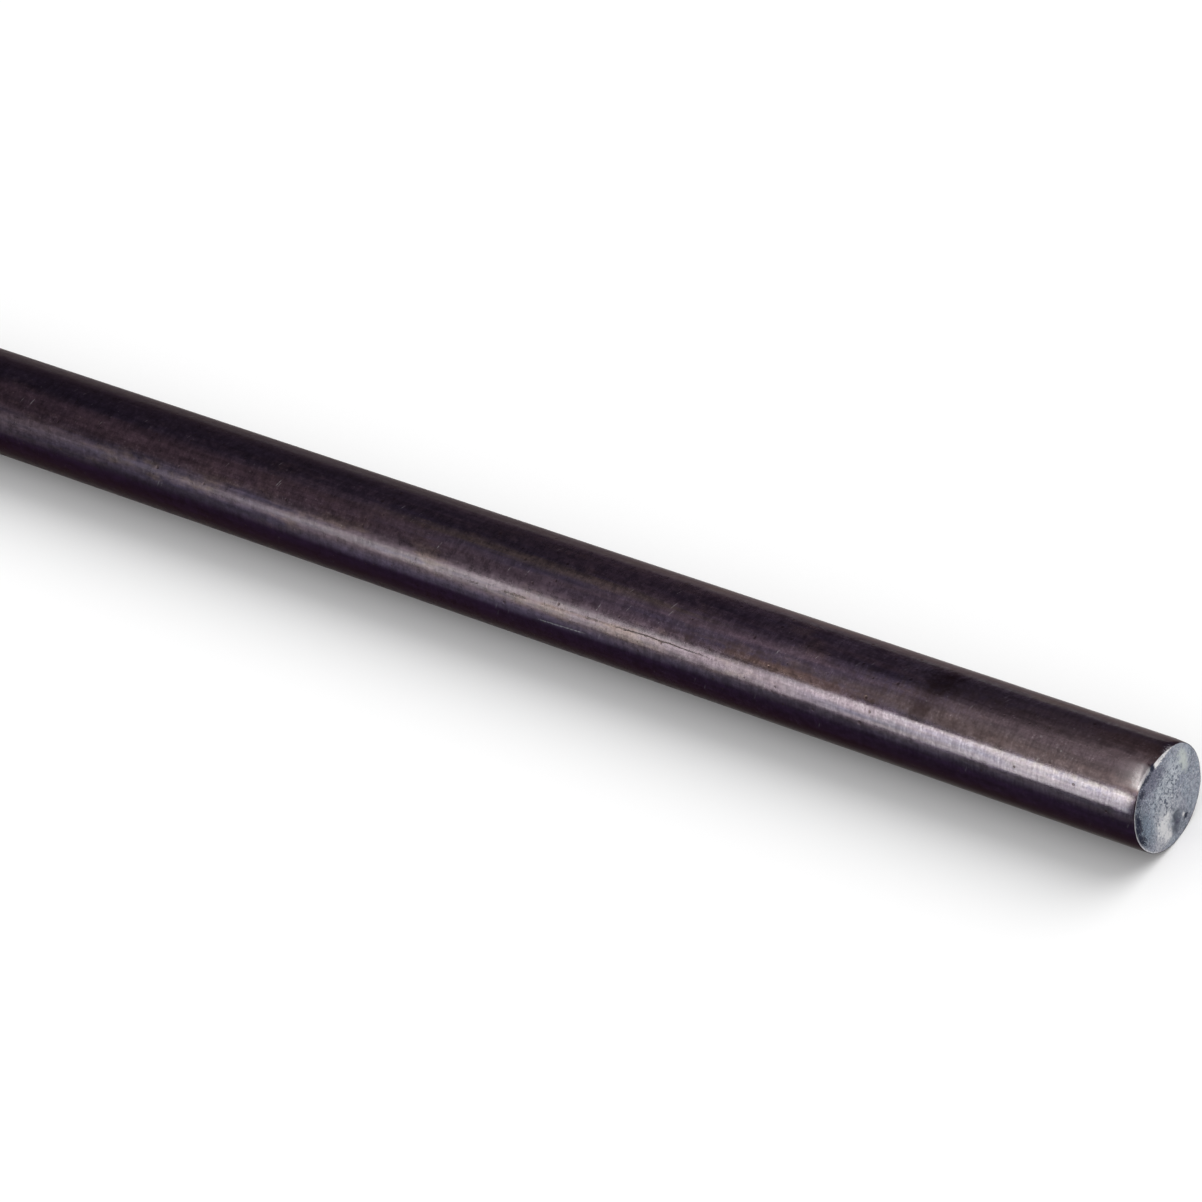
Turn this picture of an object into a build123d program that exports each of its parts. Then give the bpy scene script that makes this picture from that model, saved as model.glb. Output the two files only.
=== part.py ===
from build123d import *
import os
from math import cos, radians, sin, sqrt

# Plain round steel bar, hot rolled and cropped to length in a bar shear.
# The bar lies along X on the plane Z = 0, with its middle over the origin. Lengths are in millimetres.
# Directions round the section are angles from straight up (+Z), positive towards the front (-Y).

# Stock size.
diameter = 12.7
length = 914.4

# Every rim of the cropped ends is rubbed to this small radius.
rim_radius = 0.19

# At each end the shear blade enters from above, and rolls the rim over into a bevel that runs out
# to either side of the top.
rollover_on_face = 0.6
rollover_along_bar = 0.85
rollover_bulge = 0.05
rollover_half_spread = 40
blade_entry_angle = 0

# Across the +X face from the blade, the last of the metal tore out and left a hollow.
tear_angle = 185
tear_distance = 3.7
tear_length = 2.0
tear_width = 1.35
tear_depth = 0.35

radius = diameter / 2
half_length = length / 2
axis_height = radius


def round_section(angle):
    """The unit direction across the bar at an angle round its section."""
    return Vector(0, -sin(radians(angle)), cos(radians(angle)))


def end_plane(end, angle):
    """A plane through the bar's axis at one end (+1 or -1): its X axis points out across the bar
    at the given angle, and its Y axis points out of the bar's end."""
    across = round_section(angle)
    outwards = Vector(end, 0, 0)
    return Plane(
        origin=(end * half_length, 0, axis_height),
        x_dir=across,
        z_dir=across.cross(outwards),
    )


# The roll-over is turned about its own axis, which stands off the bar's axis away from the blade,
# so that the bevel is widest under the blade and has run out at the half spread.
rollover_offset = (rollover_on_face - rim_radius) / (1 - cos(radians(rollover_half_spread)))
rollover_inner = radius - rollover_on_face
rollover_clearance = 1.0

# The hollow is a spindle: its length follows one arc and its width another, both as deep as the tear.
tear_arc_radius = (tear_length**2 / 4 + tear_depth**2) / (2 * tear_depth)
spindle_radius = (tear_width**2 / 4 + tear_depth**2) / (2 * tear_depth)
spindle_height = spindle_radius - tear_depth
spindle_half_length = sqrt(tear_arc_radius**2 - (tear_arc_radius - spindle_radius) ** 2)

with BuildPart() as round_bar:
    # Rolled bar.
    with BuildSketch(Plane(origin=(-half_length, 0, axis_height), x_dir=(0, 1, 0), z_dir=(1, 0, 0))):
        Circle(radius)
    extrude(amount=length)

    # Rubbed rims.
    fillet(round_bar.edges().filter_by(GeomType.CIRCLE), radius=rim_radius)

    # Roll-over of each end, where the blade entered.
    for end in (1, -1):
        section_plane = end_plane(end, blade_entry_angle)
        with BuildSketch(section_plane):
            with BuildLine():
                bevel_middle = (
                    (rollover_inner + radius) / 2 + rollover_bulge,
                    rollover_bulge - rollover_along_bar / 2,
                )
                ThreePointArc((rollover_inner, 0), bevel_middle, (radius, -rollover_along_bar))
                Polyline(
                    (radius, -rollover_along_bar),
                    (radius + rollover_clearance, -rollover_along_bar),
                    (radius + rollover_clearance, rollover_clearance),
                    (rollover_inner, rollover_clearance),
                    (rollover_inner, 0),
                )
            make_face()
        turning_point = section_plane.from_local_coords((-rollover_offset, 0))
        revolve(axis=Axis(turning_point, (1, 0, 0)), mode=Mode.SUBTRACT)

    # Hollow of the tear, with its length across the bar.
    tear_plane = end_plane(1, tear_angle)
    with BuildSketch(tear_plane):
        with BuildLine():
            ThreePointArc(
                (tear_distance - spindle_half_length, spindle_height),
                (tear_distance, -tear_depth),
                (tear_distance + spindle_half_length, spindle_height),
            )
            Line(
                (tear_distance + spindle_half_length, spindle_height),
                (tear_distance - spindle_half_length, spindle_height),
            )
        make_face()
    spindle_point = tear_plane.from_local_coords((tear_distance, spindle_height))
    revolve(axis=Axis(spindle_point, tear_plane.x_dir), mode=Mode.SUBTRACT)

round_bar.part.label = "round_bar"

os.makedirs("parts", exist_ok=True)
export_step(round_bar.part, "parts/round_bar.step")
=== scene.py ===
# A hot-rolled round steel bar with mill scale and cropped ends, on a plain studio floor.
# Sizes come from the frame and from the properties below. Lengths are in metres, and in
# millimetres inside the materials. Angles round the bar are measured from straight up, and
# are positive towards the front.
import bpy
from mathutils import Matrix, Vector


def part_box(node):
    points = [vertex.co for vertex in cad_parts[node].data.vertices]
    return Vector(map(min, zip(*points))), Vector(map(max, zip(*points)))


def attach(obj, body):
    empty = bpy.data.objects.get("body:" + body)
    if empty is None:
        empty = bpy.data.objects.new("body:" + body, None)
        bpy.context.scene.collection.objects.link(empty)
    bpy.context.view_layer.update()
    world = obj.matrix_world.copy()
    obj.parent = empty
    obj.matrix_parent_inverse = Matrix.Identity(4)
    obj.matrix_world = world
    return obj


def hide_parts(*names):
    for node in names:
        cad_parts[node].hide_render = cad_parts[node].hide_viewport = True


bl_info = {
    "name": "Hot-rolled round bar",
    "version": (1, 0, 0),
    "blender": (4, 5, 0),
    "location": "View3D > Sidebar > Round Bar",
    "description": "Builds a round steel bar with mill scale and cropped ends, and its stage",
    "category": "Add Mesh",
}

from math import cos, degrees, pi, radians, sin

import bmesh
import bpy
from mathutils import Quaternion, Vector

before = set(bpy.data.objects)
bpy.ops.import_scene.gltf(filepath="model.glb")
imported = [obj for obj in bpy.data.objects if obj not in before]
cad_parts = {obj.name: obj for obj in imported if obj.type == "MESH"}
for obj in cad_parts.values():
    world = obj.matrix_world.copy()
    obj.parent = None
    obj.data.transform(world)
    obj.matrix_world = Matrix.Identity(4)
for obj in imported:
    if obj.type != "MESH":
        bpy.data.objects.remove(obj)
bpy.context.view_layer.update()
BAR_NODE = "round_bar"
BAR_LOW, BAR_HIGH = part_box(BAR_NODE)

MM = 0.001
HALF_LENGTH = (BAR_HIGH.x - BAR_LOW.x) / 2
RADIUS = BAR_HIGH.y
AXIS_HEIGHT = RADIUS
BAR_END = Vector((HALF_LENGTH, 0, AXIS_HEIGHT))


def length_property(name, description, default):
    return bpy.props.FloatProperty(
        name=name,
        description=description,
        default=default,
        precision=5,
        unit="LENGTH",
        subtype="DISTANCE",
    )


def angle_property(name, description, default):
    return bpy.props.FloatProperty(
        name=name, description=description, default=default, unit="ROTATION", subtype="ANGLE"
    )


def colour_property(name, description, default):
    return bpy.props.FloatVectorProperty(
        name=name, description=description, default=default, min=0, max=1, subtype="COLOR"
    )


class BarSizes(bpy.types.PropertyGroup):
    """The rolled bar and its cropped ends."""

    rim_radius: length_property(
        "Rim radius", "Small round on the rims of the cropped ends", 0.12 * MM
    )
    rollover_on_face: length_property(
        "Roll-over on the face",
        "How far the roll-over under the blade reaches into the end face",
        0.6 * MM,
    )
    rollover_along_bar: length_property(
        "Roll-over along the bar",
        "How far the roll-over under the blade reaches along the bar",
        0.85 * MM,
    )
    rollover_turn: angle_property(
        "Roll-over turn",
        "Angle from the top of the bar to the middle of the roll-over, positive to the front",
        radians(-6),
    )
    rollover_spread: angle_property(
        "Roll-over half spread",
        "Angle round the bar from the blade to where the roll-over runs out",
        radians(40),
    )
    droop: length_property(
        "Droop", "How much the last millimetres of the bar are drawn in by the shear", 0.15 * MM
    )
    droop_reach: length_property(
        "Droop reach", "How far along the bar the droop goes", 2.2 * MM
    )
    tear_depth: length_property(
        "Tear depth", "Depth of the hollow torn out of the +X face", 0.35 * MM
    )
    fold_depth: length_property(
        "Fold depth", "Depth of the folded-in line beside the front rim", 0.16 * MM
    )
    sides: bpy.props.IntProperty(
        name="Sides", description="Faces round the bar", default=192, min=24
    )
    end_rings: bpy.props.IntProperty(
        name="End rings", description="Rings of faces across each cropped end", default=48, min=4
    )


class BarColours(bpy.types.PropertyGroup):
    """The mill scale and the bare steel under it."""

    scale_colour: colour_property(
        "Mill scale", "Dark purple-brown of most of the scale", (0.040, 0.0285, 0.0365)
    )
    scale_brown: colour_property(
        "Brown scale", "Purple-brown of the scale near the cropped end", (0.057, 0.043, 0.046)
    )
    scale_blue: colour_property(
        "Blue scale", "Blue-black of the coolest scale", (0.022, 0.0175, 0.030)
    )
    # Painted shade: this near-black colours the lower front and the bottom of the bar, standing in
    # for the shade there.
    underside: colour_property(
        "Underside", "Indigo-black of the scale low on the bar", (0.0090, 0.0040, 0.0140)
    )
    # Also spread as a painted highlight beside the step of the roll-over.
    bare_steel: colour_property(
        "Bare steel", "Steel where the scale is rubbed off", (0.50, 0.53, 0.50)
    )
    cut_steel: colour_property("Cut steel", "Blue-grey of the sheared ends", (0.345, 0.385, 0.44))
    # Also the colour of the painted highlight on the lip raised beside the tear.
    pressed_steel: colour_property(
        "Pressed steel", "Pale patch that the cut has pressed smooth", (0.70, 0.70, 0.70)
    )
    # Painted shade in the folds and dents of the cut ends, also used for dark rings and blots by
    # the front rim.
    fold_colour: colour_property(
        "Fold", "Dark inside of the folds in the cut", (0.018, 0.021, 0.042)
    )
    flaw_colour: colour_property(
        "Flaw", "Dark brown of the flaws and pits in the scale", (0.020, 0.014, 0.013)
    )


class StudioLook(bpy.types.PropertyGroup):
    """The floor and the light."""

    floor_colour: colour_property("Floor", "Colour of the floor", (0.94, 0.94, 0.94))
    room_colour: colour_property(
        "Room", "Dim room that shows in reflections", (0.30, 0.24, 0.312)
    )
    fill_colour: colour_property("Fill", "Soft light from all round", (0.76, 0.76, 0.76))
    key_strength: bpy.props.FloatProperty(
        name="Key", description="Strength of the soft key lamp", default=1.6
    )


# ---------------------------------------------------------------------------------------------
# The bar's mesh

# Zones of rings along the bar: how far each reaches from the end, and its number of cuts.
RING_ZONES = ((1.2 * MM, 7), (6 * MM, 9), (30 * MM, 12))
MIDDLE_CUTS = 160
RING_TOLERANCE = 0.01 * MM
RIM_STEPS = 4
CONE_SIDES = 720

# Faces whose normal lies this far along the bar belong to the cut: before the ends are shaped,
# with part of the rounded rim, and after it, without the roll-over.
CUT_NORMAL = 0.7
FLAT_CUT_NORMAL = 0.9

# How far behind the end's plane a point still counts as on the end face, and on its rim.
FACE_LAYER = 0.9 * MM
RIM_LAYER = 0.25 * MM

# Square of the radius of the spot where a dent's middle is pushed, in square millimetres.
DENT_SPOT = 0.02
# Half the width, in millimetres, of the line where a fold is pushed, and its waves round the bar.
FOLD_HALF_WIDTH = 0.07
FOLD_WAVES = 9


def only_select(thing):
    """Selects this object and nothing else, and makes it active."""
    bpy.ops.object.select_all(action="DESELECT")
    thing.select_set(True)
    bpy.context.view_layer.objects.active = thing


def pick(piece, kind, test):
    """In edit mode, selects the vertices, edges or faces that pass a test, and nothing else."""
    bpy.ops.mesh.select_mode(type=kind)
    bpy.ops.mesh.select_all(action="DESELECT")
    shape = bmesh.from_edit_mesh(piece.data)
    count = 0
    for part in {"VERT": shape.verts, "EDGE": shape.edges, "FACE": shape.faces}[kind]:
        if test(part):
            part.select_set(True)
            count += 1
    shape.select_flush_mode()
    bmesh.update_edit_mesh(piece.data)
    return count


def place_on_end(point, end):
    """Millimetres to the back and up from the axis on one end face, or None if off that face."""
    if end * point.x < HALF_LENGTH - FACE_LAYER:
        return None
    return point.y / MM, (point.z - AXIS_HEIGHT) / MM


def angle_round(back, up):
    """Degrees round the bar of a point that is so far back and up from the axis."""
    return degrees(Vector((up, -back)).angle_signed(Vector((1, 0)), 0))


def rolled_blank(sizes):
    """A plain round bar with rounded rims, and rings of faces across its ends and along it."""
    bpy.ops.object.select_all(action="DESELECT")
    bpy.ops.mesh.primitive_cylinder_add(
        vertices=sizes.sides,
        radius=RADIUS,
        depth=2 * HALF_LENGTH,
        end_fill_type="NGON",
        location=(0, 0, AXIS_HEIGHT),
        rotation=(0, pi / 2, 0),
    )
    bar = bpy.context.object
    bar.name = "mill_finish_bar"
    bar.data.name = bar.name
    bpy.ops.object.transform_apply(location=True, rotation=True, scale=True)
    bpy.ops.object.mode_set(mode="EDIT")

    def is_end(face):
        return len(face.verts) > 4

    pick(bar, "FACE", is_end)
    bpy.ops.mesh.bevel(
        offset=sizes.rim_radius, segments=RIM_STEPS, profile=0.5, affect="EDGES"
    )
    pick(bar, "FACE", is_end)
    step = (RADIUS - sizes.rim_radius) / (sizes.end_rings + 1)
    for _ in range(sizes.end_rings):
        bpy.ops.mesh.inset(thickness=step, use_individual=True)
    bpy.ops.mesh.poke()

    # Rings along the bar, close together near the ends.
    for end in (1, -1):
        for reach, _ in RING_ZONES:
            bpy.ops.mesh.select_all(action="SELECT")
            bpy.ops.mesh.bisect(
                plane_co=(end * (HALF_LENGTH - reach), 0, 0), plane_no=(1, 0, 0)
            )
    near = sizes.rim_radius
    for reach, cuts in RING_ZONES:

        def in_zone(edge):
            low, high = sorted(HALF_LENGTH - abs(vertex.co.x) for vertex in edge.verts)
            return abs(low - near) < RING_TOLERANCE and abs(high - reach) < RING_TOLERANCE

        pick(bar, "EDGE", in_zone)
        bpy.ops.mesh.subdivide(number_cuts=cuts)
        near = reach
    pick(bar, "EDGE", lambda edge: edge.calc_length() > HALF_LENGTH)
    bpy.ops.mesh.subdivide(number_cuts=MIDDLE_CUTS)
    bpy.ops.object.mode_set(mode="OBJECT")
    return bar


def draw_in(bar, sizes, end):
    """Draws the rim of one end down a little where the blade came in, and the last millimetres of
    the side with it. The bottom of the rim, where the blade broke out, stays sharp and full."""
    bpy.ops.object.mode_set(mode="EDIT")
    if not pick(bar, "VERT", lambda vertex: end * vertex.co.x > HALF_LENGTH - RIM_LAYER):
        raise RuntimeError("the end of the bar isn't where its frame puts it")
    share = 1 - sizes.droop / (2 * RADIUS)
    bpy.ops.transform.resize(
        value=(1, share, share),
        center_override=(0, 0, 0),
        use_proportional_edit=True,
        proportional_edit_falloff="SHARP",
        proportional_size=sizes.droop_reach,
    )
    bpy.ops.object.mode_set(mode="OBJECT")


def roll_over(bar, sizes, end):
    """Rolls the top of one end's rim over, by keeping the bar inside a cone that stands off its
    axis, away from the blade."""
    inner = RADIUS - sizes.rollover_on_face
    offset = (sizes.rollover_on_face - sizes.rim_radius) / (1 - cos(sizes.rollover_spread))
    slope = sizes.rollover_on_face / sizes.rollover_along_bar
    tip_gap = 2 * MM
    depth = 2 * HALF_LENGTH + 2 * tip_gap
    on_face = inner + offset
    bpy.ops.object.select_all(action="DESELECT")
    bpy.ops.mesh.primitive_cone_add(
        vertices=CONE_SIDES,
        radius1=on_face + slope * (depth - tip_gap),
        radius2=on_face - slope * tip_gap,
        depth=depth,
        location=(
            end * (HALF_LENGTH + tip_gap - depth / 2),
            offset * sin(sizes.rollover_turn),
            AXIS_HEIGHT - offset * cos(sizes.rollover_turn),
        ),
        rotation=(0, end * pi / 2, 0),
    )
    cone = bpy.context.object
    only_select(bar)
    wrap = bar.modifiers.new("roll_over", "SHRINKWRAP")
    wrap.target = cone
    wrap.wrap_method = "NEAREST_SURFACEPOINT"
    wrap.wrap_mode = "INSIDE"
    bpy.ops.object.modifier_apply(modifier=wrap.name)
    bpy.data.objects.remove(cone)

    # Soften where the roll-over meets the face and the side, to a little beyond it.
    lowest = inner - 0.25 * MM
    furthest = sizes.rollover_along_bar + 0.2 * MM
    widest = 46
    middle = degrees(sizes.rollover_turn)

    def near_rollover(vertex):
        back, up = vertex.co.y, vertex.co.z - AXIS_HEIGHT
        out = Vector((0, back, up)).length
        close = out > lowest and HALF_LENGTH - end * vertex.co.x < furthest
        return close and abs(angle_round(back, up) - middle) < widest

    bpy.ops.object.mode_set(mode="EDIT")
    pick(bar, "VERT", near_rollover)
    bpy.ops.mesh.vertices_smooth(factor=0.5, repeat=3)
    bpy.ops.object.mode_set(mode="OBJECT")


def push_in(bar, end, reach, depth, test):
    """Pushes the spots of an end face that pass a test inwards, and what is round them with
    them. The reach and the depth are in metres, and the test takes millimetres back and up."""

    def chosen(vertex):
        spot = place_on_end(vertex.co, end)
        return spot is not None and test(*spot)

    if not pick(bar, "VERT", chosen):
        raise RuntimeError("no part of the end face is where a mark should be pressed in")
    bpy.ops.transform.translate(
        value=(-end * depth, 0, 0),
        use_proportional_edit=True,
        proportional_edit_falloff="SMOOTH",
        proportional_size=reach,
        use_proportional_connected=True,
    )


def dent(back, up):
    """The test for a small spot on an end face."""
    return lambda y, z: (y - back) ** 2 + (z - up) ** 2 < DENT_SPOT


def fold(low, high, out, wave):
    """The test for a wavy line on an end face, from one angle to another at a distance out."""

    def on_line(y, z):
        angle = angle_round(y, z)
        line = out + wave * sin(radians(angle * FOLD_WAVES))
        return low < angle < high and abs(Vector((y, z)).length - line) < FOLD_HALF_WIDTH

    return on_line


def tear(y, z):
    """The test for the slanting middle of the tear, at the bottom of the +X face."""
    middle, slant, half_width, half_length = (0.34, -3.7), 0.15, 0.1, 0.45
    across = y - middle[0] - (z - middle[1]) * slant
    return abs(across) < half_width and abs(z - middle[1]) < half_length


def back_edge(y, z):
    """The test for the back of an end face."""
    return y > 5.9 and abs(z) < 3


def shape_ends(bar, sizes):
    """The tear, the folds and the smaller dents of the cropped ends."""
    deep = sizes.fold_depth / MM
    marks = (
        # The end, then the reach and the depth in millimetres, then where it is.
        # Hollow of the tear.
        (1, 0.62, sizes.tear_depth / MM, tear),
        (1, 0.5, 0.12, dent(-0.3, -4.6)),
        # A chip beside the tear, and the burr that it raised.
        (1, 0.35, 0.14, dent(1.6, -4.8)),
        (1, 0.3, -0.035, dent(1.4, -4.3)),
        # Fold beside the front rim, broken into lengths.
        (1, 0.3, deep, fold(79, 108, 5.75, 0.05)),
        (1, 0.28, 0.8 * deep, fold(66, 76, 5.6, 0.04)),
        (1, 0.25, 0.5 * deep, fold(57, 62, 5.45, 0.04)),
        (1, 0.3, 0.4 * deep, fold(42, 50, 5.4, 0.05)),
        (-1, 0.3, deep, fold(-120, -84, 5.6, 0.06)),
        # Notch where the roll-over steps.
        (1, 0.4, 0.12, dent(-0.75, 5.6)),
        # The face falls away a little behind the back rim.
        (1, 1.3, 0.05, back_edge),
    )
    bpy.ops.object.mode_set(mode="EDIT")
    for end, reach, depth, test in marks:
        push_in(bar, end, reach * MM, depth * MM, test)
    bpy.ops.object.mode_set(mode="OBJECT")


def roughen(bar, name, vertices, size, depth):
    """Presses waves of a size into a group of vertices, down to a depth, and applies them."""
    noise = bpy.data.textures.new(name, "CLOUDS")
    noise.noise_scale = size
    noise.noise_depth = 2
    group = bar.vertex_groups.new(name=name)
    group.add(vertices, 1.0, "REPLACE")
    uneven = bar.modifiers.new(name, "DISPLACE")
    uneven.texture = noise
    uneven.texture_coords = "LOCAL"
    uneven.direction = "NORMAL"
    uneven.strength = depth
    # The highest waves stay at the surface, so the bar doesn't grow.
    uneven.mid_level = 1.0
    uneven.vertex_group = name
    only_select(bar)
    bpy.ops.object.modifier_apply(modifier=name)
    bar.vertex_groups.remove(bar.vertex_groups[name])
    bpy.data.textures.remove(noise)


class BAR_OT_mill_finish_bar(bpy.types.Operator):
    """Adds the bar with its mill scale and its cropped ends"""

    bl_idname = "bar.mill_finish_bar"
    bl_label = "Mill-finish bar"

    def execute(self, context):
        sizes, colours = context.scene.bar_sizes, context.scene.bar_colours
        bar = rolled_blank(sizes)
        cut = [face.index for face in bar.data.polygons if abs(face.normal.x) > CUT_NORMAL]
        for end in (1, -1):
            draw_in(bar, sizes, end)
            roll_over(bar, sizes, end)
        cut = [i for i in cut if abs(bar.data.polygons[i].normal.x) > FLAT_CUT_NORMAL]
        on_cut = {v for i in cut for v in bar.data.polygons[i].vertices}
        on_side = sorted(set(range(len(bar.data.vertices))) - on_cut)
        on_cut = sorted(on_cut)
        shape_ends(bar, sizes)
        roughen(bar, "face_waves", on_cut, size=1.6 * MM, depth=0.07 * MM)
        roughen(bar, "face_grain", on_cut, size=0.35 * MM, depth=0.03 * MM)
        roughen(bar, "side_waves", on_side, size=4.0 * MM, depth=0.035 * MM)

        bar.data.materials.append(mill_scale(colours))
        bar.data.materials.append(cut_steel(colours))
        for i in cut:
            bar.data.polygons[i].material_index = 1
        only_select(bar)
        bpy.ops.object.shade_smooth_by_angle(angle=radians(40))
        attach(bar, "root")
        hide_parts(BAR_NODE)
        return {"FINISHED"}


# ---------------------------------------------------------------------------------------------
# Nodes that both materials use

# Most of a noise lies between these values.
NOISE_LOW, NOISE_HIGH = 0.3, 0.7
# The range over which a patch's edge wanders, in half sizes, where it is fully ragged.
WANDER = 4.0
# The smallest specks are this share of the size asked for.
SMALLEST_SPECK = 0.4


class Sheet:
    """Adds nodes to one node tree and joins them."""

    def __init__(self, tree):
        self.tree = tree
        self.nodes = tree.nodes

    def put(self, socket, value):
        if isinstance(value, bpy.types.NodeSocket):
            self.tree.links.new(value, socket)
        else:
            socket.default_value = value

    def add(self, kind, inputs=None, **settings):
        node = self.nodes.new(kind)
        for name, value in settings.items():
            setattr(node, name, value)
        for name, value in (inputs or {}).items():
            self.put(node.inputs[name], value)
        return node

    def use(self, group, **inputs):
        """A node group, with its inputs given by name, and the spaces in them as underscores."""
        node = self.nodes.new("ShaderNodeGroup")
        node.node_tree = group
        for name, value in inputs.items():
            self.put(node.inputs[name.replace("_", " ")], value)
        return node.outputs

    def math(self, operation, *values):
        node = self.add("ShaderNodeMath", operation=operation)
        for socket, value in zip(node.inputs, values):
            self.put(socket, value)
        return node.outputs[0]

    def chain(self, operation, first, *others):
        for other in others:
            first = self.math(operation, first, other)
        return first

    def plus(self, *values):
        return self.chain("ADD", *values)

    def minus(self, *values):
        return self.chain("SUBTRACT", *values)

    def times(self, *values):
        return self.chain("MULTIPLY", *values)

    def strongest(self, *values):
        return self.chain("MAXIMUM", *values)

    def vector(self, operation, first, second):
        node = self.add("ShaderNodeVectorMath", operation=operation)
        self.put(node.inputs[0], first)
        self.put(node.inputs[1], second)
        return node.outputs[0]

    def ramp(self, value, low, high, bottom=0.0, top=1.0):
        """A smooth step from bottom to top as the value goes from low to high."""
        node = self.add("ShaderNodeMapRange", interpolation_type="SMOOTHSTEP")
        names = ("Value", "From Min", "From Max", "To Min", "To Max")
        for name, number in zip(names, (value, low, high, bottom, top)):
            self.put(node.inputs[name], number)
        return node.outputs[0]

    def around(self, value, middle, near, far, inside=1.0, outside=0.0):
        """A smooth step from inside to outside as the value gets from near to far off a middle."""
        away = self.math("ABSOLUTE", self.minus(value, middle))
        return self.ramp(away, near, far, inside, outside)

    def varied(self, noise, bottom=0.0, top=1.0):
        """The usual range of a noise, spread from bottom to top."""
        return self.ramp(noise, NOISE_LOW, NOISE_HIGH, bottom, top)

    def swing(self, noise, amount):
        """A noise that swings to both sides of 0, by half the amount at most."""
        return self.times(self.minus(noise, 0.5), amount)

    def blend(self, share, first, second, way="MIX"):
        node = self.add("ShaderNodeMix", data_type="RGBA", blend_type=way)
        self.put(node.inputs[0], share)
        for socket, colour in ((node.inputs[6], first), (node.inputs[7], second)):
            is_socket = isinstance(colour, bpy.types.NodeSocket)
            self.put(socket, colour if is_socket else (*colour, 1))
        return node.outputs[2]

    def over(self, share, mask, below, colour):
        """Lays a share of a colour over the one below, as far as its mask goes."""
        return self.blend(self.times(mask, share), below, colour)

    def noise(self, place, scale=1.0, detail=3.0, roughness=0.5, distortion=0.0):
        """Noise between 0 and 1, at a number of waves for each unit of its place."""
        inputs = {
            "Vector": place,
            "Scale": scale,
            "Detail": detail,
            "Roughness": roughness,
            "Distortion": distortion,
        }
        return self.add("ShaderNodeTexNoise", inputs).outputs["Fac"]

    def patch(self, u, v, middle, half, softness, ragged, noise):
        """A soft patch round a middle, with half a size, each given along u and then along v."""
        return self.use(
            shared_group(soft_patch),
            U=u,
            V=v,
            Middle_U=middle[0],
            Middle_V=middle[1],
            Half_U=half[0],
            Half_V=half[1],
            Softness=softness,
            Ragged=ragged,
            Noise=noise,
        )[0]

    def bump(self, shader, height):
        """Gives a shader the relief of a height in millimetres."""
        node = self.add("ShaderNodeBump", {"Strength": 1.0, "Distance": MM, "Height": height})
        self.put(shader.inputs["Normal"], node.outputs[0])


def node_group(name, inputs, outputs):
    """A new shader node group: its sheet, and its input and output nodes."""
    group = bpy.data.node_groups.new(name, "ShaderNodeTree")
    for direction, sockets in (("INPUT", inputs), ("OUTPUT", outputs)):
        for socket, kind, *default in sockets:
            made = group.interface.new_socket(
                socket, in_out=direction, socket_type="NodeSocket" + kind
            )
            if default:
                made.default_value = default[0]
    sheet = Sheet(group)
    given, out = sheet.add("NodeGroupInput").outputs, sheet.add("NodeGroupOutput").inputs
    return group, sheet, given, out


def bar_places():
    """Where a point is on the bar, in millimetres and degrees."""
    group, sheet, _, out = node_group(
        "bar_places",
        (),
        (
            ("Along", "Float"),
            ("From end", "Float"),
            ("Round", "Float"),
            ("Back", "Float"),
            ("Up", "Float"),
            ("Out", "Float"),
            ("Place", "Vector"),
            ("Unrolled", "Vector"),
        ),
    )
    spot = sheet.add("ShaderNodeTexCoord").outputs["Object"]
    spot = sheet.vector("SUBTRACT", spot, (0, 0, AXIS_HEIGHT))
    spot = sheet.vector("MULTIPLY", spot, (1 / MM, 1 / MM, 1 / MM))
    x, y, z = sheet.add("ShaderNodeSeparateXYZ", {"Vector": spot}).outputs
    end = HALF_LENGTH / MM
    along = sheet.minus(end, x)
    turn = sheet.math("ARCTAN2", sheet.times(y, -1.0), z)
    squares = (sheet.math("POWER", side, 2.0) for side in (y, z))
    away = sheet.math("SQRT", sheet.plus(*squares))
    unrolled = sheet.add(
        "ShaderNodeCombineXYZ", {"X": along, "Y": sheet.times(turn, RADIUS / MM), "Z": away}
    )
    values = {
        "Along": along,
        "From end": sheet.minus(end, sheet.math("ABSOLUTE", x)),
        "Round": sheet.math("DEGREES", turn),
        "Back": y,
        "Up": z,
        "Out": away,
        "Place": spot,
        "Unrolled": unrolled.outputs[0],
    }
    for name, value in values.items():
        sheet.put(out[name], value)
    return group


def soft_patch():
    """A patch with soft, ragged edges: 1 in its middle and 0 outside."""
    group, sheet, given, out = node_group(
        "soft_patch",
        (
            ("U", "Float"),
            ("V", "Float"),
            ("Middle U", "Float"),
            ("Middle V", "Float"),
            ("Half U", "Float", 1.0),
            ("Half V", "Float", 1.0),
            ("Softness", "Float", 0.3),
            ("Ragged", "Float", 0.3),
            ("Noise", "Float", 0.5),
        ),
        (("Mask", "Float"),),
    )
    squares = []
    for axis in "UV":
        away = sheet.minus(given[axis], given["Middle " + axis])
        away = sheet.math("DIVIDE", away, given["Half " + axis])
        squares.append(sheet.math("POWER", away, 2.0))
    reach = sheet.math("SQRT", sheet.plus(*squares))
    reach = sheet.plus(reach, sheet.times(sheet.swing(given["Noise"], given["Ragged"]), WANDER))
    low = sheet.minus(1.0, given["Softness"])
    high = sheet.plus(1.0, given["Softness"])
    sheet.put(out["Mask"], sheet.ramp(reach, low, high, 1.0, 0.0))
    return group


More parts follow.
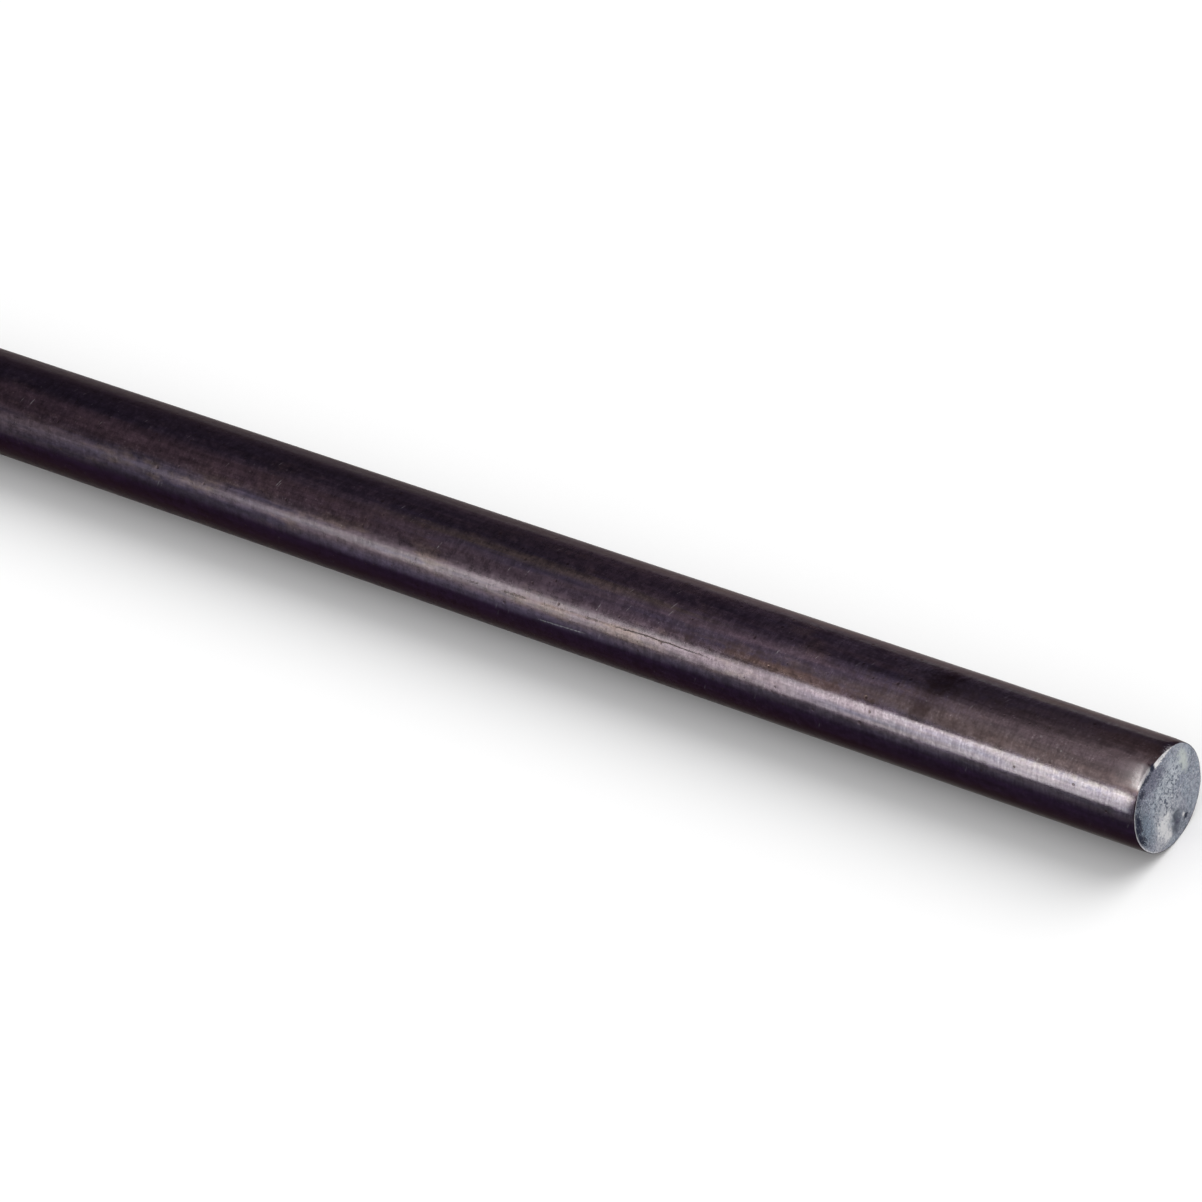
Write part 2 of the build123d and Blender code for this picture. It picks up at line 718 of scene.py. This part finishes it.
def specks():
    """Small scattered specks: 1 on a speck and 0 elsewhere."""
    group, sheet, given, out = node_group(
        "specks",
        (
            ("Place", "Vector"),
            ("Spacing", "Float", 1.0),
            ("Size", "Float", 0.1),
            ("Share", "Float", 0.5),
        ),
        (("Mask", "Float"),),
    )
    cells = sheet.add(
        "ShaderNodeTexVoronoi",
        {
            "Vector": given["Place"],
            "Scale": sheet.math("DIVIDE", 1.0, given["Spacing"]),
            "Randomness": 1.0,
        },
    )
    draw = sheet.add("ShaderNodeSeparateXYZ", {"Vector": cells.outputs["Color"]}).outputs
    size = sheet.math("DIVIDE", given["Size"], given["Spacing"])
    size = sheet.times(size, sheet.plus(SMALLEST_SPECK, draw[1]))
    shape = sheet.ramp(cells.outputs["Distance"], sheet.times(size, 0.5), size, 1.0, 0.0)
    kept = sheet.math("LESS_THAN", draw[0], given["Share"])
    sheet.put(out["Mask"], sheet.times(shape, kept))
    return group


def shared_group(make):
    """The node group of this name, made the first time that it is asked for."""
    return bpy.data.node_groups.get(make.__name__) or make()


def new_material(name):
    material = bpy.data.materials.new(name)
    material.use_nodes = True
    return Sheet(material.node_tree), material.node_tree.nodes["Principled BSDF"], material


# ---------------------------------------------------------------------------------------------
# The scale

# Stains of the scale.
OLIVE_BROWN = (0.062, 0.047, 0.040)
UMBER = (0.036, 0.028, 0.030)
PALE_BROWN = (0.098, 0.077, 0.072)
DUSTY_BROWN = (0.110, 0.088, 0.086)
OCHRE = (0.056, 0.043, 0.034)
WARM_BROWN = (0.054, 0.038, 0.032)
PLUM = (0.046, 0.029, 0.035)
RUST = (0.080, 0.050, 0.034)
VIOLET = (0.044, 0.035, 0.062)
SEAM_BROWN = (0.045, 0.029, 0.025)

# Tint of what the scale reflects.
SCALE_TINT = (0.56, 0.50, 0.49, 1)

# Places on the side, in millimetres from the +X end and degrees round the bar. The seam and
# the scratch slant by so many degrees for each millimetre.
ROLLOVER_STEP = 21
SEAM_START, SEAM_SLANT = 70, 0.22
SCRATCH_ALONG, SCRATCH_TURN, SCRATCH_SLANT = 80, 68.5, 0.3


def mill_scale(colours):
    """Dark oxide over the rolled side, with its streaks, stained patches, pits and rubbed rims; a
    painted highlight beside the step of the roll-over, and painted shade in the dent at that step
    and on the lower side of the bar.
    """
    sheet, shader, material = new_material("mill_scale")
    plus, minus, times, strongest = sheet.plus, sheet.minus, sheet.times, sheet.strongest
    ramp, around, varied, swing, over = (
        sheet.ramp, sheet.around, sheet.varied, sheet.swing, sheet.over
    )
    where = sheet.use(shared_group(bar_places))
    along, from_end, turn = where["Along"], where["From end"], where["Round"]
    unrolled, place = where["Unrolled"], where["Place"]

    def stretched(along_scale, round_scale):
        return sheet.vector("MULTIPLY", unrolled, (along_scale, round_scale, 1.0))

    # Rolling streaks along the bar, chatter of the rolls across it, and uneven scale.
    streaks = sheet.noise(stretched(0.05, 1.6), detail=5, roughness=0.62)
    wide_streaks = sheet.noise(
        stretched(0.022, 0.4), detail=4, roughness=0.55, distortion=0.4
    )
    warm_streaks = sheet.noise(stretched(0.12, 0.35), detail=4, roughness=0.65)
    chatter = sheet.noise(stretched(4.2, 0.45), detail=4, roughness=0.7)
    waves = sheet.noise(stretched(0.16, 0.42), detail=2, roughness=0.6)
    breaks = sheet.noise(stretched(0.5, 0.8), detail=3, roughness=0.6)
    grain = sheet.noise(place, scale=3.4, detail=4, roughness=0.75)
    mottle = sheet.noise(place, scale=0.9, detail=5, roughness=0.7)
    cloud = sheet.noise(place, scale=0.3, detail=3, roughness=0.5)

    def patch(middle, half, softness=0.5, ragged=0.3, noise=mottle, turned=turn):
        """A patch, with its middle and half its size in millimetres along and degrees round."""
        return sheet.patch(along, turned, middle, half, softness, ragged, noise)

    def dots(spots, spacing, size, share):
        return sheet.use(
            shared_group(specks), Place=spots, Spacing=spacing, Size=size, Share=share
        )[0]

    # Colour of the scale. The stained patches, and the painted shade low on the bar, go from the
    # lowest to the topmost, each with the share of its colour that shows, its place and its colour.
    warm_zone = strongest(ramp(turn, 36, 41, 0.5, 0.1), ramp(along, 40, 60, 0.0, 0.5))
    rust_spots = strongest(
        patch((47, 35), (9, 4.5), 0.6, 0.7), patch((3, -12), (5, 9), 0.7, 0.5)
    )
    stains_and_underside_shade = (
        (1.0, patch((0, 14), (31, 29), 0.35, 0.35), colours.scale_brown),
        (0.8, patch((0, 28), (44, 6.5), 0.5, 0.3), OLIVE_BROWN),
        (0.55, patch((0, 24), (46, 4.5), 0.7, 0.2), UMBER),
        (0.8, patch((0, 33.5), (34, 3.8), 0.6, 0.2), PALE_BROWN),
        (0.9, patch((0, 2), (13, 10), 0.8, 0.3), DUSTY_BROWN),
        (0.75, patch((84, 9), (22, 5), 0.6, 0.7, streaks), OCHRE),
        (1.0, times(ramp(warm_streaks, 0.5, 0.66), warm_zone), WARM_BROWN),
        (0.9, patch((190, -20), (105, 28), 0.6, 0.5), colours.scale_blue),
        (0.6, patch((165, 22), (62, 14), 0.3, 0.3, streaks), PLUM),
        (0.45, rust_spots, RUST),
        # Painted shade: the lower front and the bottom of the bar are coloured near black.
        (1.0, around(turn, 125, 52, 67), colours.underside),
        (0.55, patch((92, 66), (30, 5), 0.7, 0.5, streaks), VIOLET),
    )
    colour = sheet.blend(
        ramp(wide_streaks, 0.38, 0.6), colours.scale_blue, colours.scale_colour
    )
    for share, mask, tone in stains_and_underside_shade:
        colour = over(share, mask, colour, tone)
    lighter = times(around(along, 55, 12, 38, 0.3, 0.0), ramp(turn, 32, 42, 1.0, 0.0))
    shade = times(
        varied(mottle, 0.72, 1.28),
        varied(grain, 0.88, 1.12),
        varied(chatter, 0.94, 1.06),
        varied(streaks, 0.8, 1.2),
        plus(1.0, lighter),
        ramp(along, 95, 150, 1.0, 0.84),
    )
    grey = sheet.add("ShaderNodeCombineColor", {0: shade, 1: shade, 2: shade}).outputs[0]
    colour = sheet.blend(1.0, colour, grey, "MULTIPLY")
    smudge = strongest(
        patch((28.5, -4), (1.6, 24), 0.9, 0.5), patch((29.5, 26), (1.2, 9), 0.9, 0.5)
    )
    colour = over(0.6, smudge, colour, colours.flaw_colour)

    # A seam in the scale: broken dark lengths in a brown stain, slanting slowly round the bar.
    slant = times(strongest(minus(along, SEAM_START), 0.0), SEAM_SLANT)
    seam = plus(minus(turn, slant), swing(cloud, 4.0))
    flaw = strongest(
        patch((65.5, 47.4), (5.2, 0.5), 0.6, 0.5, grain, seam),
        times(
            patch((82, 47.8), (12, 1.0), 0.6, 1.0, grain, seam), ramp(breaks, 0.43, 0.55, 0.0, 0.65)
        ),
    )
    stained = times(
        patch((78, 47.6), (15, 3.2), 0.7, 0.9, streaks, seam), ramp(streaks, 0.42, 0.58)
    )
    pits = dots(place, spacing=1.1, size=0.2, share=0.4)
    colour = over(0.5, stained, colour, SEAM_BROWN)
    colour = over(0.85, flaw, colour, colours.flaw_colour)
    colour = over(0.55, pits, colour, colours.flaw_colour)

    # Bare metal on the rims: a bright edge by the step of the roll-over, and a line behind the
    # blade.
    # Beside the step, a haze that fades over the first millimetres of the side is a painted
    # highlight.
    rim = plus(swing(grain, 2.4), from_end)
    crisp_rim = plus(swing(grain, 0.5), from_end)
    beside_blade = around(turn, ROLLOVER_STEP, 10, 16)
    behind_blade = around(turn, -24, 4, 10, 0.6, 0.0)
    rubbed = strongest(
        times(ramp(rim, 0.2, 2.2, 0.36, 0.0), beside_blade),
        times(ramp(rim, 0.5, 4.5, 0.12, 0.0), beside_blade),
        times(ramp(crisp_rim, 0.18, 0.42, 0.95, 0.0), beside_blade),
        times(ramp(rim, 0.0, 0.35, 1.0, 0.0), behind_blade),
    )

    # Small slanting nicks, dusty specks near the end and a long scratch.
    slanted = sheet.add(
        "ShaderNodeMapping",
        {"Vector": unrolled, "Rotation": (0, 0, radians(66)), "Scale": (3.2, 0.45, 1.0)},
        vector_type="TEXTURE",
    ).outputs[0]
    nicks = times(
        dots(slanted, spacing=1.5, size=0.17, share=0.9),
        ramp(mottle, 0.4, 0.6),
        around(turn, 84, 40, 46, 0.25, 1.0),
    )
    dust = times(
        strongest(
            times(ramp(grain, 0.57, 0.68), ramp(mottle, 0.4, 0.62)),
            dots(place, spacing=0.8, size=0.13, share=0.3),
        ),
        ramp(along, 3, 60, 0.12, 0.05),
        ramp(turn, 34, 42, 1.0, 0.1),
    )
    scratch_line = plus(SCRATCH_TURN, times(minus(along, SCRATCH_ALONG), SCRATCH_SLANT))
    scratch = times(
        around(turn, scratch_line, 0.2, 0.9),
        around(along, SCRATCH_ALONG, 2.4, 4.2),
        ramp(grain, 0.35, 0.6),
    )
    # Worn steel, with the painted highlight beside the step of the roll-over.
    bare_and_highlight = strongest(rubbed, dust, times(nicks, 0.22), times(scratch, 0.2))
    colour = over(1.0, bare_and_highlight, colour, colours.bare_steel)
    # Painted shade in the dent at the step of the roll-over, at the very end of the side.
    notch_shade = patch((0, 5), (0.25, 3.4), 0.4, 0.4, grain)
    colour = over(0.85, notch_shade, colour, colours.fold_colour)
    sheet.put(shader.inputs["Base Color"], colour)

    # Gloss of the thin outer scale: strongest near the end, duller further along the bar.
    blotches = plus(
        ramp(cloud, 0.42, 0.58, -0.22, 0.2), ramp(mottle, 0.36, 0.6, -0.25, 0.2)
    )
    dull = strongest(flaw, pits, smudge, bare_and_highlight, times(stained, 0.6))
    gloss = times(
        plus(1.0, times(around(along, 46, 16, 34), blotches)),
        ramp(along, 10, 60, 0.42, 0.24),
        ramp(along, 60, 170, 1.0, 0.5),
        varied(chatter, 0.65, 1.35),
        varied(grain, 0.7, 1.3),
        varied(streaks, 0.85, 1.15),
        around(turn, 18, 40, 58, 1.0, 0.08),
        minus(1.0, dull),
    )
    sheet.put(shader.inputs["Coat Weight"], gloss)
    rough = plus(
        ramp(along, 10, 120, 0.21, 0.31),
        varied(mottle, -0.04, 0.05),
        times(bare_and_highlight, 0.12),
        times(patch((0, 0), (16, 12), 0.8, 0.3), 0.12),
        times(patch((0, 5), (2.2, 13), 0.5, 0.3), 0.14),
        ramp(turn, -42, -20, 0.10, 0.0),
    )
    sheet.put(shader.inputs["Roughness"], rough)
    shader.inputs["Metallic"].default_value = 0.96
    shader.inputs["Specular Tint"].default_value = SCALE_TINT
    shader.inputs["Coat Roughness"].default_value = 0.135

    # Relief: streaks, slow waves, chatter and grain, less the marks that go in.
    relief = plus(
        times(streaks, 0.012),
        times(waves, ramp(along, 15, 90, 0.02, 0.06)),
        times(chatter, 0.0035),
        times(grain, 0.0025),
    )
    holes = strongest(times(flaw, 0.03), times(pits, 0.014))
    sheet.bump(shader, minus(relief, holes, times(scratch, 0.015)))
    return material


# ---------------------------------------------------------------------------------------------
# The cut ends

# Broad tones of the cut.
SHADED_STEEL = (0.315, 0.325, 0.38)
PALE_UPPER = (0.49, 0.52, 0.56)
PALE_LOWER = (0.52, 0.53, 0.56)
PALE_FOOT = (0.50, 0.50, 0.53)
UNDER_BLADE = (0.13, 0.13, 0.19)
FRONT_SHADE = (0.10, 0.125, 0.165)
FRONT_BLUE = (0.14, 0.21, 0.28)
BACK_SHADE = (0.2, 0.23, 0.3)
FOOT_SHADE = (0.2, 0.21, 0.24)

# Torn grain: a darker tint at random, painted shade in the low places of its relief, painted light
# on its raised flakes and the colour of its flecks.
SHALLOW_HOLLOW = (0.55, 0.58, 0.62)
GRAIN_HOLLOW_SHADE = (0.45, 0.48, 0.52)
FLAKE_LIGHT = (0.20, 0.20, 0.19)
FLECK = (0.06, 0.075, 0.115)

GREENISH_STEEL = (0.60, 0.645, 0.60)
# Painted shade in the hollow of the tear.
TEAR_SHADE = (0.115, 0.13, 0.16)
# Also the painted highlight along the front of the rim's edge.
BURNISH_AND_HIGHLIGHT = (0.8, 0.78, 0.77)

# Millimetres from the +X end within which a point isn't at the other end.
NEAR_HALF = 100


def cut_steel(colours):
    """Bare grey steel of the sheared ends, with its grain, folds, tear and pressed patches, and the
    painted shade and highlights laid on them.
    """
    sheet, shader, material = new_material("cut_steel")
    plus, minus, times, strongest = sheet.plus, sheet.minus, sheet.times, sheet.strongest
    ramp, varied, over = sheet.ramp, sheet.varied, sheet.over
    where = sheet.use(shared_group(bar_places))
    back, up, turn, out, place = (
        where[name] for name in ("Back", "Up", "Round", "Out", "Place")
    )
    plus_x_end = sheet.math("LESS_THAN", where["Along"], NEAR_HALF)

    # Noise of the torn metal, in several sizes of grain.
    grain = sheet.noise(place, scale=2.6, detail=5, roughness=0.75)
    cloud = sheet.noise(place, scale=0.8, detail=3, roughness=0.6)
    fine = sheet.noise(place, scale=6.0, detail=3, roughness=0.6)
    torn = sheet.noise(place, scale=1.5, detail=4, roughness=0.75)
    chips = sheet.noise(place, scale=2.7, detail=3, roughness=0.6)
    pebble = sheet.noise(place, scale=1.7, detail=4, roughness=0.7)
    blots = sheet.noise(place, scale=1.15, detail=2, roughness=0.6)

    def patch(middle, half, softness=0.4, ragged=0.35, noise=torn, u=back, v=up):
        """A patch of the +X end, its middle and half its size in millimetres back and up."""
        return times(plus_x_end, sheet.patch(u, v, middle, half, softness, ragged, noise))

    def rim_patch(middle, half, softness, ragged):
        """A patch that follows the rim, in degrees round the bar and millimetres out."""
        return patch(middle, half, softness, ragged, fine, turn, out)

    def tinted(mask, below, tint, way):
        """A colour with a tint multiplied or added, as far as a mask goes."""
        return sheet.blend(mask, below, sheet.blend(1.0, below, tint, way))

    # Broad tones of the cut: dark under the blade and down the front, pale across the middle.
    # Each has the share of its colour that shows, its place and its colour.
    tones = (
        (0.85, patch((1.0, 1.6), (2.7, 2.1), 0.7), PALE_UPPER),
        (0.85, patch((-1.3, -1.7), (2.5, 1.9), 0.7), PALE_LOWER),
        (0.8, patch((-2.8, -4.4), (1.9, 1.0), 0.6), PALE_FOOT),
        (0.85, patch((-1.9, 4.5), (3.1, 1.7), 0.5), UNDER_BLADE),
        (0.85, patch((-5.3, 1.4), (1.6, 3.4), 0.7), FRONT_SHADE),
        (0.5, patch((-4.2, -0.6), (1.1, 1.7), 0.7), FRONT_BLUE),
        (0.6, patch((3.0, 0.0), (1.5, 0.5), 0.8, 0.6), BACK_SHADE),
        (0.4, patch((0.4, -5.1), (1.8, 0.8), 0.6), FOOT_SHADE),
    )
    colour = sheet.blend(varied(cloud), colours.cut_steel, SHADED_STEEL)
    for share, mask, tone in tones:
        colour = over(share, mask, colour, tone)

    # Torn grain: dark flecks crowd across the middle, with pale flakes between them. The low places
    # of the relief get painted shade and its raised flakes painted light.
    crowd = plus(0.4, times(patch((0.0, 0.9), (4.1, 2.6), 0.6, 0.2), 0.6))
    flecks = times(ramp(chips, 0.47, 0.40), crowd)
    colour = tinted(ramp(pebble, 0.36, 0.52, 0.7, 0.0), colour, SHALLOW_HOLLOW, "MULTIPLY")
    colour = tinted(ramp(grain, 0.36, 0.54, 0.9, 0.0), colour, GRAIN_HOLLOW_SHADE, "MULTIPLY")
    colour = tinted(ramp(fine, 0.5, 0.66, 0.0, 0.9), colour, FLAKE_LIGHT, "ADD")
    colour = over(0.85, flecks, colour, FLECK)

    # Pressed patches.
    pressed = strongest(
        patch((-2.1, -2.9), (0.95, 1.25), 0.4, 1.2, pebble),
        patch((-1.8, -4.3), (0.75, 0.6), 0.4, 0.8, pebble),
        patch((-1.2, -2.2), (0.7, 0.6), 0.5, 1.3, pebble),
    )
    pressed = times(pressed, ramp(grain, 0.36, 0.5, 0.55, 1.0))
    greenish = patch((4.0, 2.1), (0.6, 1.3), 0.9, 1.2, pebble)
    colour = over(0.95, pressed, colour, colours.pressed_steel)
    colour = over(0.7, greenish, colour, GREENISH_STEEL)

    # Tear: painted shade in its hollow and in the small dent beside it, and a painted highlight on
    # the lip that the dent raised.
    tear_shade_mask = strongest(
        patch((0.35, -3.5), (0.95, 1.0), 0.6, 0.6, pebble),
        patch((-0.35, -4.6), (0.6, 0.8), 0.6, 0.6, pebble),
    )
    chip_shade = patch((1.65, -4.85), (0.38, 0.28), 0.5, 0.6)
    burr_highlight = patch((1.35, -4.3), (0.2, 0.3), 0.5, 0.9, fine)
    colour = over(0.85, tear_shade_mask, colour, TEAR_SHADE)
    colour = over(0.85, chip_shade, colour, colours.fold_colour)
    colour = over(0.9, burr_highlight, colour, colours.pressed_steel)

    # Fold beside the front rim: painted shade in its joined lengths at the bottom, and dark blots
    # and rings above. The dent at the step of the roll-over gets the same painted shade.
    rings = strongest(
        patch((-4.45, 3.75), (0.46, 0.4), 0.4, 0.4, fine),
        patch((-5.15, 2.5), (0.4, 0.36), 0.4, 0.5, fine),
    )
    gaps = strongest(
        patch((-4.4, 3.7), (0.2, 0.16), 0.5, 0.3, fine),
        patch((-5.1, 2.5), (0.15, 0.13), 0.5, 0.3, fine),
    )
    folded = strongest(
        rim_patch((99, 5.68), (11, 0.34), 0.35, 0.5),
        rim_patch((84, 5.62), (6, 0.40), 0.4, 0.6),
        rim_patch((71, 5.55), (5, 0.42), 0.4, 0.6),
        patch((-3.4, 4.15), (0.6, 0.5), 0.6, 0.7, fine),
        patch((-2.1, 5.15), (1.2, 0.3), 0.6, 0.9, fine),
        minus(rings, gaps),
        times(rim_patch((80, 5.45), (34, 0.5), 0.3, 0.3), ramp(blots, 0.55, 0.46)),
        patch((-0.65, 5.5), (0.42, 0.3), 0.4, 0.5),
    )
    colour = over(0.95, folded, colour, colours.fold_colour)

    # Burnished crescent under the blade, and a painted highlight along the rim's sharp edge down
    # the front.
    crescent = times(
        ramp(plus(up, sheet.swing(fine, 1.3)), 4.98, 5.16),
        ramp(back, -0.4, -0.1),
        ramp(back, 3.1, 3.9, 1.0, 0.0),
        plus_x_end,
        ramp(pebble, 0.36, 0.56, 0.5, 1.0),
    )
    sliver = times(rim_patch((-22, 6.1), (16, 0.28), 0.3, 0.5), 0.8)
    # Painted highlight: a bright line along the rim's edge, kept to the front of the bar.
    arris_highlight = times(ramp(out, 6.02, 6.12), ramp(grain, 0.3, 0.6, 0.3, 1.0))
    down_front = sheet.around(turn, 85, 45, 65, 0.6, 0.0)
    burnish_and_highlight = strongest(crescent, sliver, times(arris_highlight, down_front))
    colour = over(0.95, burnish_and_highlight, colour, BURNISH_AND_HIGHLIGHT)
    sheet.put(shader.inputs["Base Color"], colour)

    rough = plus(0.45, varied(grain, -0.06, 0.1))
    rough = minus(rough, times(strongest(burnish_and_highlight, pressed), 0.08))
    sheet.put(shader.inputs["Roughness"], rough)
    shader.inputs["Metallic"].default_value = 1.0
    sheet.bump(shader, minus(plus(times(grain, 0.08), times(fine, 0.04)), times(flecks, 0.05)))
    return material


# ---------------------------------------------------------------------------------------------
# The stage

FLOOR_SIZE = 24

# The way from the bar to the key lamp, which is above and behind its +X end, and how wide the
# lamp looks from there.
KEY_DIRECTION = Vector((0.42, 0.5, 0.72))
KEY_WIDTH = radians(45)

# Front panel: stands low, in front of the bar and to its left, and narrows along the bar.
FRONT_PANEL = {
    "middle": BAR_END + Vector((-0.55, -0.6, 0.275)),
    "facing": Vector((0, 1, 0)),
    "size": (0.58, 0.45),
    "radiance": 20.0,
    "tint": (0.94, 1.0, 0.92),
    "stops": (
        (0.0, 0.0),
        (0.2, 0.01),
        (0.3, 0.035),
        (0.4, 0.76),
        (0.48, 0.60),
        (0.56, 0.38),
        (0.64, 0.32),
        (0.71, 0.38),
        (0.78, 0.74),
        (1.0, 0.85),
    ),
    "fade": (0.0, 0.9, 0.62, 1.12),
    "bend": 0.18,
    "taper": (0.3, 0.62),
}

# Overhead panel: brightest over the cropped end, and fading along the bar.
TOP_PANEL = {
    "middle": BAR_END + Vector((-0.15, -0.23, 0.9)),
    "facing": Vector((0, 0, -1)),
    "size": (2.1, 1.5),
    "radiance": 3.0,
    "tint": (1.07, 0.97, 1.0),
    "stops": (
        (0.0, 0.01),
        (0.09, 0.03),
        (0.16, 0.07),
        (0.21, 0.22),
        (0.29, 0.35),
        (0.35, 0.5),
        (0.46, 1.0),
        (0.7, 0.45),
    ),
    "fade": (0.55, 1.0, 1.0, 0.0),
}

# The middle and half the height of a panel's lit part, as shares of its height.
WHOLE_PANEL = (0.5, 0.5)
TAPERED_PANEL = (0.43, 0.095)
# The edge of that part fades from a little inside it to a little outside.
PANEL_EDGE = (-0.02, 0.04)

# The camera: what it aims at, its distance from there, and the way it looks.
AIM = BAR_END + Vector((-0.0852, 0.0045, -AXIS_HEIGHT))
CAMERA_DISTANCE = 0.6565
CAMERA_LENS = 167.6
SENSOR_WIDTH = 36
ELEVATION, AZIMUTH, ROLL = radians(43.3), radians(53.88), radians(24.49)


def area_lamp(name, middle, facing, size, radiance, tint, stops, fade, bend=0.0, taper=None):
    """A flat lamp seen in reflections only. Its brightness changes along its width, at stops of
    share and level, and up its height by a fade. The stops bend with height, and a taper narrows
    the panel between two shares of its width."""
    light = bpy.data.lights.new(name, "AREA")
    light.shape = "RECTANGLE"
    light.size, light.size_y = size
    light.energy = radiance * pi * size[0] * size[1]
    light.color = tint
    light.use_nodes = True
    sheet = Sheet(light.node_tree)
    spot = sheet.add("ShaderNodeNewGeometry").outputs["Parametric"]
    across, height, _ = sheet.add("ShaderNodeSeparateXYZ", {"Vector": spot}).outputs
    across = sheet.plus(across, sheet.times(sheet.math("POWER", height, 2.0), bend))
    bands = sheet.add("ShaderNodeValToRGB", {"Fac": across})
    marks = bands.color_ramp.elements
    while len(marks) < len(stops):
        marks.new(0.5)
    for mark, (position, level) in zip(marks, stops):
        mark.position = position
        mark.color = (level, level, level, 1)
    strength = sheet.times(bands.outputs["Color"], sheet.ramp(height, *fade))
    if taper:
        centre, half = (
            sheet.ramp(across, *taper, narrow, whole)
            for narrow, whole in zip(TAPERED_PANEL, WHOLE_PANEL)
        )
        past = sheet.minus(sheet.math("ABSOLUTE", sheet.minus(height, centre)), half)
        strength = sheet.times(strength, sheet.ramp(past, *PANEL_EDGE, 1.0, 0.0))
    sheet.put(light.node_tree.nodes["Emission"].inputs["Strength"], strength)
    lamp = bpy.data.objects.new(name, light)
    lamp.location = middle
    lamp.rotation_euler = facing.to_track_quat("-Z", "Y").to_euler()
    lamp.visible_camera = False
    lamp.visible_diffuse = False
    bpy.context.collection.objects.link(lamp)


class BAR_OT_studio(bpy.types.Operator):
    """Adds the floor, the lamps and the camera"""

    bl_idname = "bar.studio"
    bl_label = "Studio"

    def execute(self, context):
        studio = context.scene.bar_studio
        bpy.ops.object.select_all(action="DESELECT")
        bpy.ops.mesh.primitive_plane_add(size=FLOOR_SIZE, location=(0, 0, 0))
        floor = context.object
        floor.name = "floor"
        _, shader, material = new_material("floor")
        shader.inputs["Base Color"].default_value = (*studio.floor_colour, 1)
        shader.inputs["Roughness"].default_value = 0.9
        shader.inputs["Specular IOR Level"].default_value = 0.0
        floor.data.materials.append(material)

        # The room: soft light from all round, but dim in reflections.
        world = bpy.data.worlds.new("room")
        context.scene.world = world
        world.use_nodes = True
        sheet = Sheet(world.node_tree)
        reflected = sheet.add("ShaderNodeLightPath").outputs["Is Glossy Ray"]
        light = sheet.blend(reflected, studio.fill_colour, studio.room_colour)
        sheet.put(sheet.nodes["Background"].inputs["Color"], light)

        key = bpy.data.lights.new("key", "SUN")
        key.energy = studio.key_strength
        key.angle = KEY_WIDTH
        key_lamp = bpy.data.objects.new("key", key)
        key_lamp.rotation_euler = KEY_DIRECTION.to_track_quat("Z", "Y").to_euler()
        key_lamp.visible_glossy = False
        context.collection.objects.link(key_lamp)
        area_lamp("front_panel", **FRONT_PANEL)
        area_lamp("top_panel", **TOP_PANEL)

        view = bpy.data.objects.new("camera", bpy.data.cameras.new("camera"))
        context.scene.camera = view
        context.collection.objects.link(view)
        view.data.sensor_width = SENSOR_WIDTH
        view.data.lens = CAMERA_LENS
        view.data.clip_start = 0.01
        view.data.clip_end = 100
        back = Vector(
            (cos(ELEVATION) * sin(AZIMUTH), -cos(ELEVATION) * cos(AZIMUTH), sin(ELEVATION))
        )
        view.location = AIM + back * CAMERA_DISTANCE
        turn = back.to_track_quat("Z", "Y") @ Quaternion((0, 0, 1), -ROLL)
        view.rotation_euler = turn.to_euler()
        context.scene.view_settings.view_transform = "Standard"
        return {"FINISHED"}


class BAR_PT_sidebar(bpy.types.Panel):
    """Lists the bar's pieces in the sidebar"""

    bl_label = "Round Bar"
    bl_idname = "BAR_PT_sidebar"
    bl_space_type = "VIEW_3D"
    bl_region_type = "UI"
    bl_category = "Round Bar"

    def draw(self, context):
        layout = self.layout
        for operator in OPERATORS:
            layout.operator(operator.bl_idname)


OPERATORS = (BAR_OT_mill_finish_bar, BAR_OT_studio)
SETTINGS = {"bar_sizes": BarSizes, "bar_colours": BarColours, "bar_studio": StudioLook}
CLASSES = (*SETTINGS.values(), *OPERATORS, BAR_PT_sidebar)


def register():
    for cls in CLASSES:
        bpy.utils.register_class(cls)
    for name, settings in SETTINGS.items():
        setattr(bpy.types.Scene, name, bpy.props.PointerProperty(type=settings))


def unregister():
    for name in SETTINGS:
        delattr(bpy.types.Scene, name)
    for cls in reversed(CLASSES):
        bpy.utils.unregister_class(cls)


def main():
    register()
    bpy.ops.bar.mill_finish_bar()
    bpy.ops.bar.studio()


if __name__ == "__main__":
    main()
